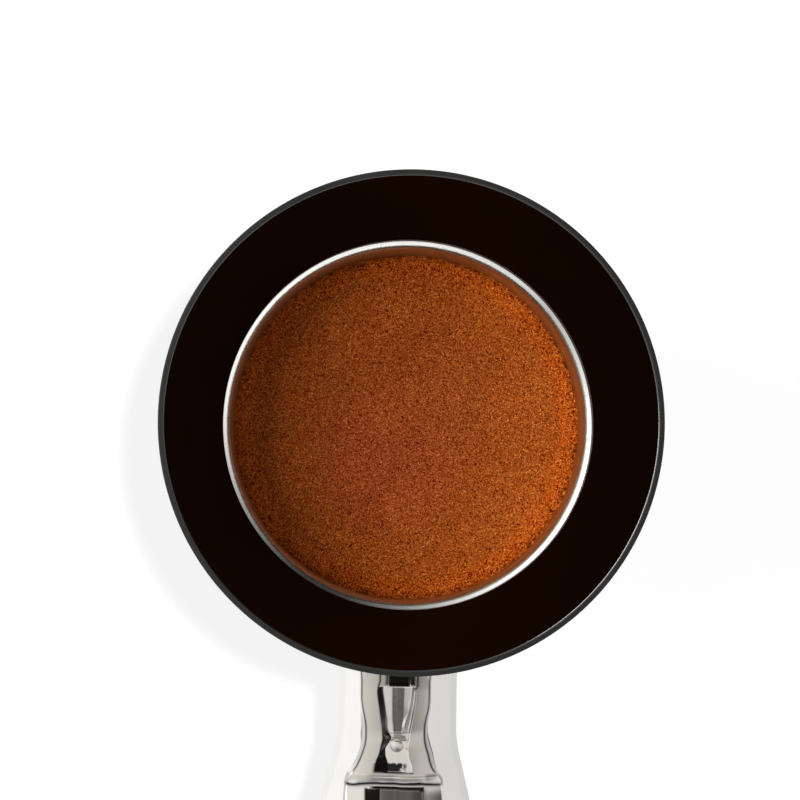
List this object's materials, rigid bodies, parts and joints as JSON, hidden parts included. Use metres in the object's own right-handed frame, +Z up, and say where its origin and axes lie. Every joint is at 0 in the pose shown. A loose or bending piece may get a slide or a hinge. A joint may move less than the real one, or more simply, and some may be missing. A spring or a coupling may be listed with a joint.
{
  "type": "espresso portafilter with dosing funnel",
  "caption": "Long-handled espresso filter holder with a steel basket, a tamped coffee puck, a black magnetic dosing funnel on the rim and a double spout below.",
  "frame": {"origin": "on the basket's axis, at the top of its straight bore, 0.9 mm below the basket flange's upper face", "axes": "+Z up along the basket's axis, -Y towards the handle's end, X across the two bayonet ears"},
  "size_m": [0.0814, 0.2307, 0.0805],
  "materials": {
    "chrome": "polished chrome plate over brass",
    "stainless": "pressed stainless sheet, satin wall and polished lip",
    "spring_steel": "drawn stainless spring wire",
    "fastener_steel": "zinc plated steel",
    "brass": "turned brass",
    "black_anodised": "black anodised aluminium, turned",
    "magnet_nickel": "nickel plated magnet",
    "grip_black": "satin black moulded phenolic",
    "gasket_fibre": "red brown sealing ring",
    "coffee": null
  },
  "bodies": {
    "portafilter": {"portafilter_bowl": "chrome", "portafilter_neck": "chrome", "basket_spring": "spring_steel", "spout_nipple": "brass", "spout_gasket": "gasket_fibre", "spout_lock_nut": "chrome", "double_spout": "chrome", "handle_stud": "fastener_steel", "handle_washer": "fastener_steel", "handle_ferrule": "chrome", "handle_insert": "brass", "handle_grip": "grip_black", "handle_cap_washer": "gasket_fibre", "handle_end_cap": "chrome", "handle_cap_screw": "fastener_steel"},
    "basket": {"filter_basket": "stainless"},
    "puck": {"coffee_puck": "coffee"},
    "funnel": {"funnel_body": "black_anodised", "funnel_magnets": "magnet_nickel", "funnel_magnet_ring": "black_anodised"}
  },
  "joints": [
    {"name": "basket_lift", "type": "slide", "parent": "portafilter", "child": "basket", "axis": [0, 0, 1], "range_m": [0, 0.04]},
    {"name": "funnel_lift", "type": "slide", "parent": "basket", "child": "funnel", "axis": [0, 0, 1], "range_m": [0, 0.06]},
    {"name": "puck_lift", "type": "slide", "parent": "basket", "child": "puck", "axis": [0, 0, 1], "range_m": [0, 0.05]}
  ]
}
